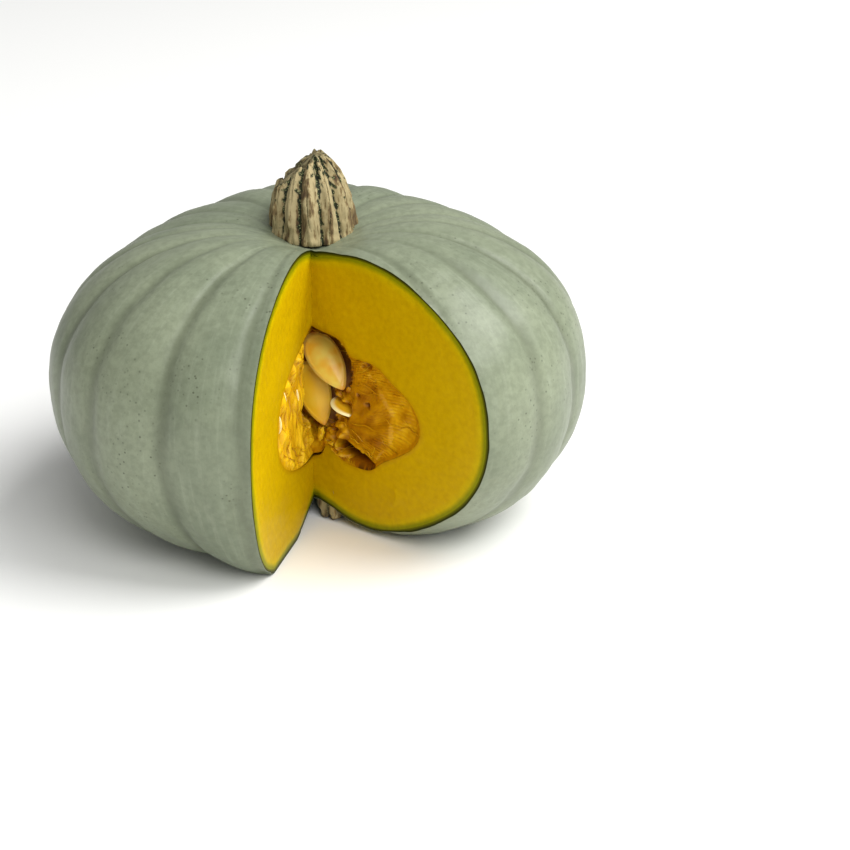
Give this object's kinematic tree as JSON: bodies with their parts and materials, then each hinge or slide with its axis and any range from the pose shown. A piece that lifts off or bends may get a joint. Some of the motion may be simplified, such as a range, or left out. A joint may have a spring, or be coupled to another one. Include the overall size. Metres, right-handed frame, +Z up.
{
  "type": "pumpkin",
  "caption": "Ripe grey-green ribbed pumpkin with a corky stem and a notch cut to its core, which shows yellow flesh, orange pulp and seeds.",
  "frame": {"origin": "on the surface it rests on, under the middle of its bounding box", "axes": "+Z up along the stem, -Y towards the side that the notch opens to"},
  "size_m": [0.2216, 0.218, 0.1525],
  "materials": {
    "rind": "matt, waxy grey-green skin",
    "flesh": "moist yellow flesh, freshly cut",
    "pulp": "moist, combed orange fibres",
    "stem": "dry, furrowed cork",
    "scar": "dry, rough cork",
    "seed": "smooth cream seed coat with a moist film"
  },
  "bodies": {
    "root": {"rind": "rind", "flesh": "flesh", "pulp": "pulp", "stem": "stem", "blossom_scar": "scar", "seed_1": "seed", "seed_2": "seed", "seed_3": "seed", "seed_4": "seed", "seed_5": "seed", "seed_6": "seed"}
  },
  "joints": []
}
